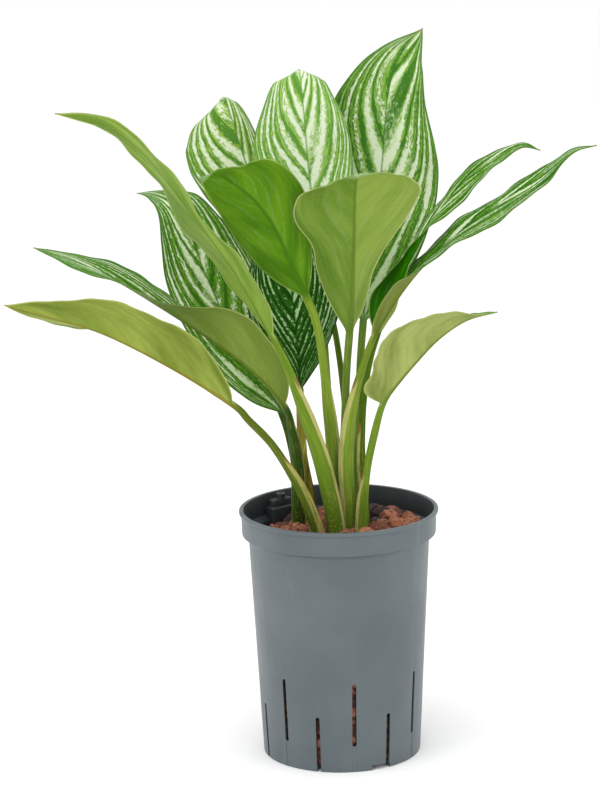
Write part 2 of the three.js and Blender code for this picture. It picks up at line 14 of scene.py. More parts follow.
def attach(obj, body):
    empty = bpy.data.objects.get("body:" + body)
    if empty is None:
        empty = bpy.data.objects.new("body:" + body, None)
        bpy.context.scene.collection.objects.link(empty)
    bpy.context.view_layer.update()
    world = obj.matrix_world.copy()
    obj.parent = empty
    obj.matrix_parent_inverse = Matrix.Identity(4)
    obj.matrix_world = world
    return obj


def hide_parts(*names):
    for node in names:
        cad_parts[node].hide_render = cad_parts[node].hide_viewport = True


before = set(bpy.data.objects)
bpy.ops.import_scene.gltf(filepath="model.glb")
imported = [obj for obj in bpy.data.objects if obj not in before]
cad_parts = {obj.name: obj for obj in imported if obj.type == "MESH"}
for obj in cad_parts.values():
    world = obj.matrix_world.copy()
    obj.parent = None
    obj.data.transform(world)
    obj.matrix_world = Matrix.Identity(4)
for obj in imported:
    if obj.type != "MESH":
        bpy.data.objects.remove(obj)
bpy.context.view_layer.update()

MM = 0.001
TURN = 2 * math.pi

# Camera, at the photograph's viewing angle: it looks along +Y and a little down
IMAGE_HEIGHT_PIXELS = 800
CAMERA_PLACE = (0, -2165, 759.2)
CAMERA_YAW = 0.0128
CAMERA_PITCH = 0.2205
CAMERA_ROLL = -0.0181
FOCAL_LENGTH_PIXELS = 2956.5
SENSOR_HEIGHT = 24

# Studio, in metres and watts: name, place, size and strength of each soft light
LIGHTS = [
    ("top", (-0.3, -0.5, 2.6), 1.6, 24),
    ("left", (-1.9, -1.6, 1.3), 1.2, 9),
    ("right", (2.0, -1.2, 1.5), 1.2, 6),
]
LIGHT_AIM = (0, 0, 0.28)
SKY_STRENGTH = 1.02
FLOOR_RADIUS = 14
FLOOR_WHITE = (0.97, 0.97, 0.97, 1)

# Pot
POT_HEIGHT = 190
LIP_RADIUS = 75.5
COLLAR_RADIUS = 73.8
COLLAR_BOTTOM = 171.5
WALL_TOP_RADIUS = 68.4
WALL_TOP = 167.5
BASE_RADIUS = 60
WALL = 1.8
LEDGE_HEIGHT = 173.2
FLOOR_TOP = 4.4
FLOOR_UNDER = 2.4
POT_STEPS = 168
SLOT_COUNT = 14
SLOT_WIDTH = 3.3
SLOT_FIRST_ANGLE = 8.7
HIGH_SLOT = (20.5, 70)
LOW_SLOT = (-3, 43.5)
RECESS_DEPTH = 0.3
FOOT_NOTCH_ANGLES = (29.5, 209.5)
FOOT_NOTCH_WIDTH = 15
FOOT_NOTCH_HEIGHT = 3.8
HOUSING_ANGLE = 132
HOUSING_WIDTH = 25
HOUSING_INNER = 61
HOUSING_OUTER = 73
HOUSING_REACH = LIP_RADIUS - 4.6
HOUSING_BOTTOM = 150
HOUSING_STEP = 180
HOUSING_TOP = 185.5
HOUSING_SETBACK = 3
HOUSING_ROUNDING = 1.5
TUBE_RADIUS = 3.3
TUBE_BORE = 1.8
TUBE_TOP = 189.5
TUBE_SETBACK = 5.5

# Clay granules
GAP = 0.35
CLAY_LEVEL = 168
PEBBLE_PITCH = 12.9
PEBBLE_RADIUS = (6.2, 9.0)
PEBBLE_RINGS = 5
PEBBLE_REACH = 66
PEBBLE_UNEVENNESS = 6.5
HEAP_SLOPE = (0.08, 0.02)
SLOT_PEBBLE_PITCH = 8.5
SLOT_PEBBLE_RADIUS = (3.6, 5.4)
CLAY_SEED = 41

# Canes: x, y, lowest z, top z, radius
CANES = {
    "front": (3, 10, 140, 200, 7),
    "back": (-28, 33, 140, 186, 5.5),
}

# Leaves
STALK_ROWS = 44
BLADE_ROWS = 120
ACROSS_STEPS = 28
BLADE_THICKNESS = 0.8
SHEATH_RADIUS = 4.3
STALK_RADIUS = 3.0
KEEL = 2.4
FINE_RIPPLE = 0.4
FINE_RIPPLE_COUNT = 9.3
BAND_SWEEP = 0.43
VEIN_SWEEP = 0.26
SWEEP_REACH = 0.88
VEIN_COUNT = 11
VEIN_DEPTH = 0.32
# Kept on each vertex for the leaf's finish. along: -1 at the foot, 0 at the blade's base, 1 at its
# tip. across: -1 to 1. band and vein: where along the midrib the line through the vertex starts.
# aside and inset: millimetres from the midrib and from the edge. under: 1 on the under face.
LEAF_VALUES = ("along", "across", "band", "vein", "aside", "inset", "under")
# Cross-sections of a stalk as shares of its radius, from edge to edge
SHEATH_ABOVE = [(-1.2, 0.75), (-0.62, 0.3), (0, 0.1), (0.62, 0.3), (1.2, 0.75)]
SHEATH_BELOW = [(-1.28, 0.5), (-0.9, -0.4), (0, -0.85), (0.9, -0.4), (1.28, 0.5)]
ROUND_ABOVE = [(-0.92, 0.3), (-0.5, 0.42), (0, 0.25), (0.5, 0.42), (0.92, 0.3)]
ROUND_BELOW = [(-0.95, -0.2), (-0.66, -0.75), (0, -1), (0.66, -0.75), (0.95, -0.2)]

# Each leaf: the cane it clasps; the number of stalk points, how stout the stalk is and the
# share of it at which its sheath ends; points along stalk and midrib; the way the upper face
# looks, from blade base to tip; half width and where along the blade it is reached; shares of
# that width and lift in degrees, base to tip, of each half; waves of the edge: size, count and
# phase.
LEAVES = {
    "leaf_01": dict(
        cane="front", stalk=6, stout=1, sheath=0.62,
        path=[(-13, -16, 152), (-16.5, -24, 177), (-28, -33, 212), (-47, -42, 248), (-65, -52, 271),
              (-77, -58, 285), (-121, -68, 316), (-168, -74, 342), (-209, -78, 356), (-238, -80, 365)],
        face=[(-0.1, 0.72, 0.7), (-0.1, 0.72, 0.7), (0, 0.9, 0.4)],
        width=34, widest=0.4, left_width=[1, 1, 1], right_width=[1, 1, 1],
        left_lift=[20, 22, 20], right_lift=[50, 52, 25], wave=(1.5, 3, 0.4)),
    "leaf_02": dict(
        cane="back", stalk=5, stout=1, sheath=0.9,
        path=[(-31, 18, 152), (-31, 16, 177), (-31, 8, 218), (-34, 2, 248), (-40, -6, 272),
              (-64, -16, 302), (-107, -24, 337), (-158, -28, 371), (-191, -26, 387), (-221, -24, 397)],
        face=[(0.2, 0.75, 0.6), (0.1, 0.75, 0.6), (0, -0.2, 1), (0, -0.5, 0.85)],
        width=31, widest=0.3, left_width=[1.1, 1.05, 1, 0.6, 0.6, 1.3, 1.7],
        right_width=[1, 1, 0.75, 0.7, 0.9],
        left_lift=[22, 25, 20], right_lift=[52, 50, 20], wave=(1.5, 3, 1.2)),
    "leaf_03": dict(
        cane="front", stalk=6, stout=1.25, sheath=0.82,
        path=[(-1, -18, 152), (-3, -22, 185), (-12, -31, 231), (-25, -40, 275), (-35, -46, 308),
              (-46, -52, 334), (-72, -62, 385), (-105, -70, 433), (-134, -76, 472), (-165, -80, 496),
              (-196, -84, 503)],
        face=[(0.62, 0.55, 0.5), (0.68, 0.42, 0.55), (0.6, 0.45, 0.65), (0.2, 0.8, 0.6)],
        width=30, widest=0.45, left_width=[1.1, 1.2, 0.95, 0.5, 0.5, 0.75, 0.75, 0.8, 0.9],
        right_width=[1, 1, 1.1, 1.4, 1, 0.75, 0.7, 0.7, 0.8],
        left_lift=[5, 5, 5], right_lift=[5, 5, 5], wave=(1.5, 4, 0)),
    "leaf_04": dict(
        cane="front", stalk=5, stout=0.8, sheath=0.45,
        path=[(4, 33, 152), (6, 37, 202), (5.5, 46, 264), (-5, 58, 333), (-28, 70, 366), (-51, 82, 402),
              (-68, 92, 443), (-76, 100, 469), (-82, 110, 485), (-85, 125, 488), (-87, 139, 485)],
        face=[(-0.2, -1, 0.2), (-0.3, -1, 0.2), (-0.2, -0.4, 1)],
        width=36, widest=0.55, left_width=[1, 1.05, 1.17, 1.35, 1.1],
        right_width=[1, 0.85, 0.5, 0.4, 0.4],
        left_lift=[12, 12, 10, -5, -35], right_lift=[20, 20, 10, -10, -35], wave=(1.5, 3, 0.7)),
    "leaf_05": dict(
        cane="front", stalk=5, stout=1, sheath=0.55,
        path=[(-5, 22, 152), (-4, 27, 195), (-6, 36, 249), (-9, 44, 308), (-14, 50, 369),
              (-16, 56, 409), (-19, 64, 442), (-22, 74, 483), (-24, 86, 507), (-25, 102, 511),
              (-26, 118, 508)],
        face=[(0, -1, 0.2), (0, -1, 0.2), (0, -0.3, 1)],
        width=39, widest=0.5, left_width=[1, 1, 1.05, 0.95, 1.3], right_width=[1, 0.95, 0.88, 0.8, 1.2],
        left_lift=[14, 12, 10, -5, -35], right_lift=[14, 12, 10, -5, -35], wave=(1.5, 3, 2)),
    "leaf_06": dict(
        cane="front", stalk=5, stout=1, sheath=0.6,
        path=[(12, 22, 152), (14, 26, 196), (17, 36, 242), (18, 46, 287), (21, 54, 323), (24, 60, 350),
              (30, 70, 390), (37, 81, 438), (42, 92, 487), (51, 102, 517), (70, 109, 540)],
        face=[(-0.1, -1, 0.2), (-0.2, -1, 0.2), (-0.2, -1, 0.3)],
        width=42, widest=0.5, left_width=[1, 1, 1.15, 1.27, 0.95], right_width=[1.25, 1.2, 1.1, 1, 1.8],
        left_lift=[12, 10, 8], right_lift=[12, 12, 8], wave=(2.5, 4, 0)),
    "leaf_07": dict(
        cane="front", stalk=6, stout=1.12, sheath=0.7,
        path=[(-4, -3, 152), (-3, -4, 185), (-4, -12, 238), (-9, -32, 303), (-14, -44, 341),
              (-21.5, -46, 362), (-33, -49, 388), (-43.5, -54, 414), (-57, -61, 435), (-71, -71, 449),
              (-81, -90, 458), (-88, -108, 461), (-92, -122, 457)],
        face=[(-0.3, 0.97, 0.2), (-0.4, 0.9, 0.3), (-0.35, 0.8, 0.6), (-0.1, 0.3, 0.95)],
        width=40, widest=0.5, left_width=[1, 0.95, 0.85, 0.55, 0.6],
        right_width=[0.85, 0.8, 0.7, 0.6, 0.7],
        left_lift=[35, 16, 6], right_lift=[25, 12, 6], wave=(2, 3, 0.5)),
    "leaf_08": dict(
        cane="front", stalk=5, stout=1, sheath=0.6,
        path=[(12.5, 0, 152), (10, -2, 185), (6, -3, 240), (7, -13, 290), (10, -39, 332),
              (12, -49, 359), (14, -61, 405), (15, -72, 438), (16, -86, 452.5), (16, -104, 458.5),
              (16, -120, 461.5), (16, -132, 460.5)],
        face=[(0, 0.97, 0.2), (0, 0.97, 0.3), (0, 0.8, 0.6), (0, 0.2, 1)],
        width=45, widest=0.6, left_width=[0.65, 0.66, 0.57, 0.69, 0.92, 1.08, 1.08, 1.1, 1],
        right_width=[0.9, 0.97, 0.92, 0.81, 1, 0.9, 0.65, 0.6, 0.7],
        left_lift=[48, 33, 10, 5], right_lift=[38, 24, 0, -20], wave=(1.5, 3, 1.5)),
    "leaf_09": dict(
        cane="front", stalk=5, stout=1, sheath=0.6,
        path=[(22, 8, 152), (19, 9, 198), (18, 14, 244), (22, 24, 284), (31, 33, 317), (46, 36, 354),
              (67, 40, 393), (93, 44, 425), (116, 48, 444), (140, 50, 457), (156, 48, 453)],
        face=[(-0.3, 0.8, 0.4), (-0.6, 0.1, 0.65), (-0.5, -0.4, 0.65), (-0.2, -0.4, 0.8)],
        width=26, widest=0.4, left_width=[0.9, 0.5, 0.5, 0.7], right_width=[1.4, 1.1, 1, 0.9],
        left_lift=[10, 8, 8], right_lift=[15, 15, 10], wave=(1.5, 3, 0)),
    "leaf_10": dict(
        cane="front", stalk=5, stout=1.12, sheath=0.82,
        path=[(9, -9, 152), (8.5, -14, 190), (7, -20, 237), (14, -19, 284), (27, -1, 320), (45, 6, 350),
              (71, 8, 380), (108, 10, 409), (146, 12, 434), (175, 12, 456), (195, 12, 461)],
        face=[(-0.5, 0.7, 0.5), (-0.5, -0.1, 0.75), (-0.5, -0.4, 0.75), (-0.2, -0.4, 0.85)],
        width=28, widest=0.45, left_width=[1.1, 1.2, 0.7, 0.5, 0.4, 0.45, 0.5],
        right_width=[1, 1, 0.95, 0.95, 1, 1.1, 1, 0.8, 0.7],
        left_lift=[12, 10, 8], right_lift=[15, 15, 10], wave=(1.5, 4, 0.3)),
    "leaf_11": dict(
        cane="front", stalk=5, stout=1, sheath=0.55,
        path=[(19, -16, 152), (18, -18, 185), (21, -24, 222), (28, -35, 258), (34, -42, 280),
              (42, -46, 293), (58, -52, 313), (75, -56, 331), (95, -60, 345), (117, -62, 351)],
        face=[(-0.3, 0.72, 0.6), (-0.3, 0.72, 0.6), (-0.3, 0.72, 0.6), (0, -0.2, 1)],
        width=30, widest=0.22, left_width=[1, 0.9, 0.9],
        right_width=[1.9, 0.88, 1, 1.2, 1.25, 1.2, 1.1, 1.05, 1],
        left_lift=[52, 52, 30], right_lift=[16, 20, 20], wave=(1, 3, 0)),
    "leaf_12": dict(
        cane="back", stalk=4, stout=1, sheath=0.6,
        path=[(-27, 45, 152), (-30, 46, 185), (-35, 49, 223), (-43, 54, 253), (-57, 58, 277),
              (-80, 62, 316), (-98, 66, 356), (-110, 70, 388), (-121, 78, 410), (-136, 94, 417),
              (-153, 110, 416)],
        face=[(0.3, -0.9, 0.3), (0.2, -0.9, 0.3), (0.1, -0.4, 1)],
        width=38, widest=0.45, left_width=[1.3, 0.95, 0.9, 0.85, 0.8],
        right_width=[1, 1.05, 1.05, 0.95, 0.9],
        left_lift=[15, 12, 8], right_lift=[15, 12, 8], wave=(2, 3, 0)),
    "leaf_13": dict(
        cane="back", stalk=4, stout=1.1, sheath=0.75,
        path=[(-20, 26, 152), (-21, 26, 185), (-27, 25, 230), (-28, 24, 276), (-29, 23, 313),
              (-33, 24, 353), (-38, 27, 395), (-42, 32, 430)],
        face=[(0.2, -0.95, 0.2), (0.2, -0.95, 0.3)],
        width=38, widest=0.4, left_width=[0.7, 0.9, 1, 1, 1], right_width=[0.5, 0.8, 1, 1, 1],
        left_lift=[15, 12], right_lift=[15, 12], wave=(1.5, 3, 0)),
}

# Looks of each leaf, where they differ from the plain ones. Upper face: dark and middle green,
# the pale zone beside the midrib, the cream bands, how many of those a blade's length holds, how
# fine their threads are, and how far the cream and the pale zone spread. Under face: darker and
# lighter green, painted light and shade that makes one half lighter than the other, midrib and
# edge. Stalk: its green, the green at its foot, the pale margin of its sheath, the side that margin
# is on (0 is both), where it starts on the way from the middle to the edge, and whether the sheath
# has browned. gloss: of the whole leaf.
PLAIN_LOOK = dict(
    dark="42761e", green="749b38", zone="aac487", cream="cbd6b7", bands=8, fine=0.7, spread=0.0, heart=0.0,
    under="6d862f", light="899b46", lean=0.0, rib="5c7017", edge="b4bd6d",
    stalk="739229", foot="48660e", margin="c4bb78", side=0, start=0.75, brown=False, gloss=0.1)
LOOKS = {
    "leaf_01": dict(
        under="61751f", light="94a346", rib="7f7520", stalk="58681a", margin="b5ac62", side=-1, start=0.35),
    "leaf_02": dict(
        dark="2f6a18", green="65902d", heart=0.2, under="66802a", light="8b9f44",
        stalk="3a5616", foot="314d0e", margin="a8a45e"),
    "leaf_03": dict(under="5e831b", light="90ab48", rib="627f1d", stalk="6e8d23", side=-1, start=0.6),
    "leaf_04": dict(dark="3f741c", green="87a746", bands=6.5, spread=0.17, heart=0.25, stalk="51701b"),
    "leaf_05": dict(
        dark="4c8526", green="93b45a", zone="bdd29c", cream="d3ddc3", bands=6.5, spread=0.12, heart=0.3,
        stalk="819837", margin="c8ca89"),
    "leaf_06": dict(
        dark="2c6512", green="76a03a", zone="b2ca92", bands=6, fine=0.55, spread=0.05, heart=0.35,
        stalk="68872d", margin="bbc081"),
    # Leaf 7: its saturated under face greens are painted light, standing for light shining through the leaf.
    "leaf_07": dict(
        under="427402", light="689612", rib="3c6b03", edge="a0b761", stalk="88a334", margin="c3c476",
        side=-1, start=0.6),
    # Leaf 8: painted shade darkens one half of its under face.
    "leaf_08": dict(
        under="587b1e", light="889f42", lean=-0.14, rib="5a741f", edge="d3d695", stalk="7c9837"),
    "leaf_09": dict(
        dark="225a08", green="6b9a34", bands=4.5, fine=0.35, spread=0.12, under="1c6302", light="377f04",
        rib="204f06", stalk="4d6a1d", gloss=0.0),
    "leaf_10": dict(
        dark="225a06", green="5f9228", bands=4.5, fine=0.35, under="6c7f26", light="8c984c", rib="60731b",
        stalk="86a136", margin="c8c27c", side=1, start=0.4, gloss=0.06),
    "leaf_11": dict(under="67782a", light="a1ab60", rib="5a7617", side=1, start=0.6),
    "leaf_12": dict(dark="275c0a", green="619026", bands=7, heart=0.25, stalk="35520f", foot="2d480b"),
    # Leaf 13: its greens and pale zone are darkened by painted shade, for a leaf deep inside the plant.
    "leaf_13": dict(
        dark="103c04", green="2f6414", zone="6b9a4a", cream="b2d09a", bands=13, spread=0.05,
        stalk="a3983a", foot="4a520e", margin="b9a850", brown=True, gloss=0.05),
}


def tint(text):
    """Linear colour from a hex triplet as seen on a screen."""
    parts = [int(text[k:k + 2], 16) / 255 for k in (0, 2, 4)]
    return tuple(p / 12.92 if p <= 0.04045 else ((p + 0.055) / 1.055) ** 2.4 for p in parts) + (1.0,)


class Wire:
    """A shader value. Arithmetic on it adds the Math node that works it out."""

    def __init__(self, finish, socket):
        self.finish = finish
        self.socket = socket

    def __add__(self, other):
        return self.finish.maths("ADD", self, other)

    def __sub__(self, other):
        return self.finish.maths("SUBTRACT", self, other)

    def __rsub__(self, other):
        return self.finish.maths("SUBTRACT", other, self)

    def __mul__(self, other):
        return self.finish.maths("MULTIPLY", self, other)

    def __truediv__(self, other):
        return self.finish.maths("DIVIDE", self, other)

    def __rtruediv__(self, other):
        return self.finish.maths("DIVIDE", other, self)

    __radd__ = __add__
    __rmul__ = __mul__


class Finish:
    """A material whose pattern is written as expressions and ends in one shader."""

    def __init__(self, name, roughness, **constants):
        self.material = bpy.data.materials.new(name)
        self.material.use_nodes = True
        self.tree = self.material.node_tree
        self.shader = self.tree.nodes["Principled BSDF"]
        self.set("Roughness", roughness)
        for socket, value in constants.items():
            self.set(socket.replace("_", " "), value)

    def set(self, socket, value):
        self._feed(self.shader.inputs[socket], value)

    def _feed(self, socket, value):
        if isinstance(value, Wire):
            self.tree.links.new(value.socket, socket)
        else:
            socket.default_value = value

    def add(self, kind, settings=None, inputs=None, output=0):
        """One node: its settings first, then the values or wires of its sockets."""
        node = self.tree.nodes.new(kind)
        for key, value in (settings or {}).items():
            setattr(node, key, value)
        for key, value in (inputs or {}).items():
            self._feed(node.inputs[key], value)
        return Wire(self, node.outputs[output])

    def maths(self, operation, first, second=0.0):
        return self.add("ShaderNodeMath", {"operation": operation}, {0: first, 1: second})

    def mix(self, share, first, second):
        """Colour between two colours."""
        return self.add("ShaderNodeMix", {"data_type": "RGBA"}, {0: share, 6: first, 7: second}, 2)

    def step(self, low, high, value):
        """0 below low, 1 above high, smooth between. low may be the larger."""
        return self.add("ShaderNodeMapRange", {"interpolation_type": "SMOOTHSTEP"},
                        {0: value, 1: low, 2: high, 3: 0.0, 4: 1.0})

    def point(self, x, y, z):
        return self.add("ShaderNodeCombineXYZ", None, {0: x, 1: y, 2: z})

    def noise(self, place, scale=1.0, detail=2.0, roughness=0.5):
        return self.add("ShaderNodeTexNoise", None,
                        {"Vector": place, "Scale": scale, "Detail": detail, "Roughness": roughness})

    def attribute(self, name):
        return self.add("ShaderNodeAttribute", {"attribute_name": name}, None, 2)

    def place(self):
        """Object coordinates in metres."""
        return self.add("ShaderNodeTexCoord", None, None, 3)

    def parts(self, vector):
        node = self.tree.nodes.new("ShaderNodeSeparateXYZ")
        self._feed(node.inputs[0], vector)
        return [Wire(self, socket) for socket in node.outputs]

    def bump(self, height, depth):
        """Raises the surface by height, 0 to 1, times a depth in millimetres."""
        self.set("Normal", self.add("ShaderNodeBump", None, {"Height": height, "Distance": depth * MM}))


def smooth(low, high, value):
    share = min(max((value - low) / (high - low), 0), 1)
    return share * share * (3 - 2 * share)


def place_on(points, u):
    """Smooth curve through points: the place at u, where whole numbers are the points."""
    index = min(int(u), len(points) - 2)
    f = u - index
    result = []
    for axis in range(len(points[0])):
        value = points[index][axis]
        after = points[index + 1][axis]
        before = points[index - 1][axis] if index > 0 else 2 * value - after
        beyond = points[index + 2][axis] if index + 2 < len(points) else 2 * after - value
        result.append(value + 0.5 * f * (after - before + f * (
            2 * before - 5 * value + 4 * after - beyond + f * (3 * (value - after) + beyond - before))))
    return result


def from_list(values, share):
    """Value from an evenly spaced list at a share from 0 to 1, smoothly."""
    u = min(max(share, 0), 1) * (len(values) - 1)
    if isinstance(values[0], tuple):
        return Vector(place_on(values, u))
    return place_on([(value,) for value in values], u)[0]


def even_steps(points, first, last, shares):
    """Curve places at equal lengths between two points, and the length."""
    fine = 40 * (last - first)
    lengths = [0]
    previous = Vector(place_on(points, first))
    for index in range(1, fine + 1):
        place = Vector(place_on(points, first + (last - first) * index / fine))
        lengths.append(lengths[-1] + (place - previous).length)
        previous = place
    places = []
    index = 1
    for share in shares:
        wanted = share * lengths[fine]
        while index < fine and lengths[index] < wanted:
            index += 1
        part = (wanted - lengths[index - 1]) / (lengths[index] - lengths[index - 1])
        places.append(first + (last - first) * (index - 1 + part) / fine)
    return places, lengths[fine]


def blade_outline(t, widest):
    """Half width of a blade as a share of its widest, from base to tip."""
    if t < widest:
        return math.sin(math.pi / 2 * t / widest) ** 0.72
    return max(math.cos(math.pi / 2 * (t - widest) / (1 - widest)), 0) ** 1.05


def stalk_section(leaf, share, s, above):
    """Sideways and upward place on the stalk's cross-section: open sheath, then round."""
    open_share = 1 - smooth(leaf["sheath"] - 0.2, leaf["sheath"], share)
    narrow = smooth(leaf["sheath"] - 0.45, leaf["sheath"] + 0.1, share)
    radius = leaf["stout"] * (SHEATH_RADIUS + (STALK_RADIUS - SHEATH_RADIUS) * narrow)
    sheath = place_on(SHEATH_ABOVE if above else SHEATH_BELOW, 2 * s + 2)
    rounded = place_on(ROUND_ABOVE if above else ROUND_BELOW, 2 * s + 2)
    return [radius * (a * open_share + b * (1 - open_share)) for a, b in zip(sheath, rounded)]


def line_start(t, s, sweep):
    """Where along the midrib a line swept towards the tip starts that passes through this point."""
    return t + sweep * math.log(1 - SWEEP_REACH * min(abs(s), 1))


def blade_section(leaf, t, s, above):
    """Sideways and upward place on the blade's cross-section, and its half width there."""
    left = s < 0
    lift = math.radians(from_list(leaf["left_lift" if left else "right_lift"], t))
    full = leaf["width"] * blade_outline(t, leaf["widest"])
    least = max(0.5, STALK_RADIUS * leaf["stout"] * 0.9 * (1 - 12 * t))
    width = max(full * from_list(leaf["left_width" if left else "right_width"], t), least)
    size, count, phase = leaf["wave"]
    fade = smooth(0, 0.2, t) * (1 - smooth(0.8, 1, t))
    ripple = size * s * s * math.sin(TURN * (count * t + phase * (1 if left else 1.7))) * fade
    fine_phase = phase + (0.4 if left else 0)
    ripple += FINE_RIPPLE * s ** 4 * math.sin(TURN * (FINE_RIPPLE_COUNT * t + fine_phase)) * fade
    turn = math.copysign(lift, s) * smooth(0, 2.5, abs(s) * width)
    out = s * width * math.cos(lift)
    up = abs(s) * width * math.sin(lift) - 0.1 * width * s * s + ripple
    crease = 1 - abs(math.sin(math.pi * VEIN_COUNT * line_start(t, s, VEIN_SWEEP)))
    body = smooth(0, 4, abs(s) * width) * smooth(1, 0.8, abs(s)) * fade
    relief = -VEIN_DEPTH * crease ** 3 * body
    rib = math.exp(-(s * width / (1.2 + 1.6 * (1 - t))) ** 2)
    if above:
        depth = relief - 0.55 * rib * (1 - t) * smooth(0, 0.05, t)
    else:
        depth = relief - (BLADE_THICKNESS * (1 - 0.5 * abs(s) ** 3) + KEEL * (1 - t) ** 1.4 * rib)
    return out - depth * math.sin(turn), up + depth * math.cos(turn), width


def leaf_rows(leaf):
    """Stations along a leaf: stalk share, blade share (under 0 on the stalk), place and axes."""
    points = leaf["path"]
    join = leaf["stalk"] - 1
    end = len(points) - 1
    stalk_shares = [index / STALK_ROWS for index in range(STALK_ROWS)]
    even = [index / BLADE_ROWS for index in range(BLADE_ROWS + 1)]
    blade_shares = [0.5 * e + 0.25 * (1 - math.cos(math.pi * e)) for e in even]
    stalk_places, _ = even_steps(points, 0, join, stalk_shares)
    blade_places, blade_length = even_steps(points, join, end, blade_shares)
    stations = [(u, share, -1) for u, share in zip(stalk_places, stalk_shares)]
    stations += [(u, 1, share) for u, share in zip(blade_places, blade_shares)]
    cane = CANES[leaf["cane"]]
    clasp = Vector((cane[0] - points[0][0], cane[1] - points[0][1], 0)).normalized()
    rows = []
    for u, share, t in stations:
        ahead = Vector(place_on(points, min(u + 0.02, end)))
        behind = Vector(place_on(points, max(u - 0.02, 0)))
        along = (ahead - behind).normalized()
        turn = smooth(0.2, 1, share)
        if t < 0:
            hint = clasp * (1 - turn) + Vector(leaf["face"][0]) * turn
        else:
            hint = from_list(leaf["face"], t)
        up = (hint - along * hint.dot(along)).normalized()
        rows.append((share, t, Vector(place_on(points, u)), along.cross(up), up))
    return rows, blade_length


def leaf_mesh(leaf):
    """A grid rolled round the leaf's cross-sections: upper face, edge, under face, edge."""
    rows, blade_length = leaf_rows(leaf)
    wide = ACROSS_STEPS
    round_steps = 2 * wide + 2
    bm = bmesh.new()
    bmesh.ops.create_grid(bm, x_segments=round_steps, y_segments=len(rows) - 1, size=0.5)
    bm.verts.ensure_lookup_table()
    layers = {key: bm.verts.layers.float.new(key) for key in LEAF_VALUES}
    for j, (share, t, place, aside, up) in enumerate(rows):
        for i in range(round_steps + 1):
            column = i % round_steps
            above = column <= wide
            even = column / wide if above else (round_steps - 1 - column) / wide
            s = math.sin(math.pi * (even - 0.5)) * 0.35 + (2 * even - 1) * 0.65
            if t < 0:
                out, rise = stalk_section(leaf, share, s, above)
                width = STALK_RADIUS * leaf["stout"]
                ease = smooth(0.78, 1, share)
                if ease > 0:
                    base_out, base_rise, _ = blade_section(leaf, 0, s, above)
                    out += (base_out - out) * ease
                    rise += (base_rise - rise) * ease
            else:
                out, rise, width = blade_section(leaf, t, s, above)
            vert = bm.verts[j * (round_steps + 1) + i]
            vert.co = (place + aside * out + up * rise) * MM
            vert[layers["along"]] = t if t >= 0 else share - 1
            vert[layers["across"]] = s
            vert[layers["band"]] = line_start(max(t, 0), s, BAND_SWEEP)
            vert[layers["vein"]] = line_start(max(t, 0), s, VEIN_SWEEP)
            vert[layers["aside"]] = s * width
            vert[layers["inset"]] = (1 - abs(s)) * width
            vert[layers["under"]] = 0 if above else 1
    seam = {bm.verts[j * (round_steps + 1) + round_steps]: bm.verts[j * (round_steps + 1)]
            for j in range(len(rows))}
    bmesh.ops.weld_verts(bm, targetmap=seam)
    bmesh.ops.holes_fill(bm, edges=[edge for edge in bm.edges if edge.is_boundary], sides=0)
    bmesh.ops.recalc_face_normals(bm, faces=bm.faces)
    return bm, blade_length


def show(name, bm, finish, slot, *replaced, sharp=180):
    """Makes the piece of the plant or pot from its mesh and its finish."""
    mesh = bpy.data.meshes.new(name)
    bm.to_mesh(mesh)
    bm.free()
    mesh.shade_smooth()
    mesh.set_sharp_from_angle(angle=math.radians(sharp))
    mesh.materials.append(finish.material)
    piece = bpy.data.objects.new(name, mesh)
    bpy.context.scene.collection.objects.link(piece)
    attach(piece, "root")
    if replaced:
        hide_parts(*replaced)
    return piece


def upper_face(f, look, at, blade_length, seed):
    """Two greens, a pale zone and ragged cream bands. Also gives where the cream is."""
    band, along, side = at["band"], at["along"], at["side"]
    drift = f.noise(f.point(band * 2.2, along * 1.6, side * 4 + seed), detail=2)
    phase = band * look["bands"] + side * 0.22 + (drift - 0.5) * 3.0
    beat = f.maths("SINE", phase * TURN)
    after_beat = f.maths("SINE", phase * (TURN * 1.9) + 1.2)
    broad = f.noise(f.point(phase * 0.9, along * 3.5, side * 9 + seed + 20), detail=2) - 0.5
    ragged = f.noise(f.point(band * (blade_length * 0.2), along * (blade_length * 0.3), side + seed),
                     detail=4, roughness=0.68) - 0.5
    threads = f.noise(f.point(band * (blade_length * look["fine"]), along * (blade_length * 0.1), seed + 7),
                      detail=3, roughness=0.6) - 0.5
    heart = f.step(0.75, 0.15, at["reach"]) * look["heart"]
    cream = f.step(0.33, 0.43, beat * 0.42 + broad * 1.7 + ragged * 2.2 + threads * 1.1
                   + look["spread"] + heart * 0.4)
    zone = f.step(0.05, 0.3, broad * 1.5 + beat * 0.2 + ragged * 1.1 + heart - 0.14)
    dark = f.step(-0.1, 0.04, threads * 2.4 + ragged * 1.8 - beat * 0.15 + after_beat * 0.2)
    edge = f.step(1.9, 0.9, at["inset"])
    rib_line = f.step(1.5, 0.7, at["aside"] + along * 0.9)
    pale = f.mix(f.step(0.45, 0.05, along) * 0.6, tint(look["cream"]), tint(look["zone"]))
    colour = f.mix(dark * 0.92, tint(look["green"]), tint(look["dark"]))
    colour = f.mix(zone * 0.75, colour, tint(look["zone"]))
    colour = f.mix(cream * (1 - edge * 0.85) * 0.95, colour, pale)
    return f.mix(f.maths("MAXIMUM", rib_line * 0.7, edge * 0.5), colour, tint(look["dark"])), cream


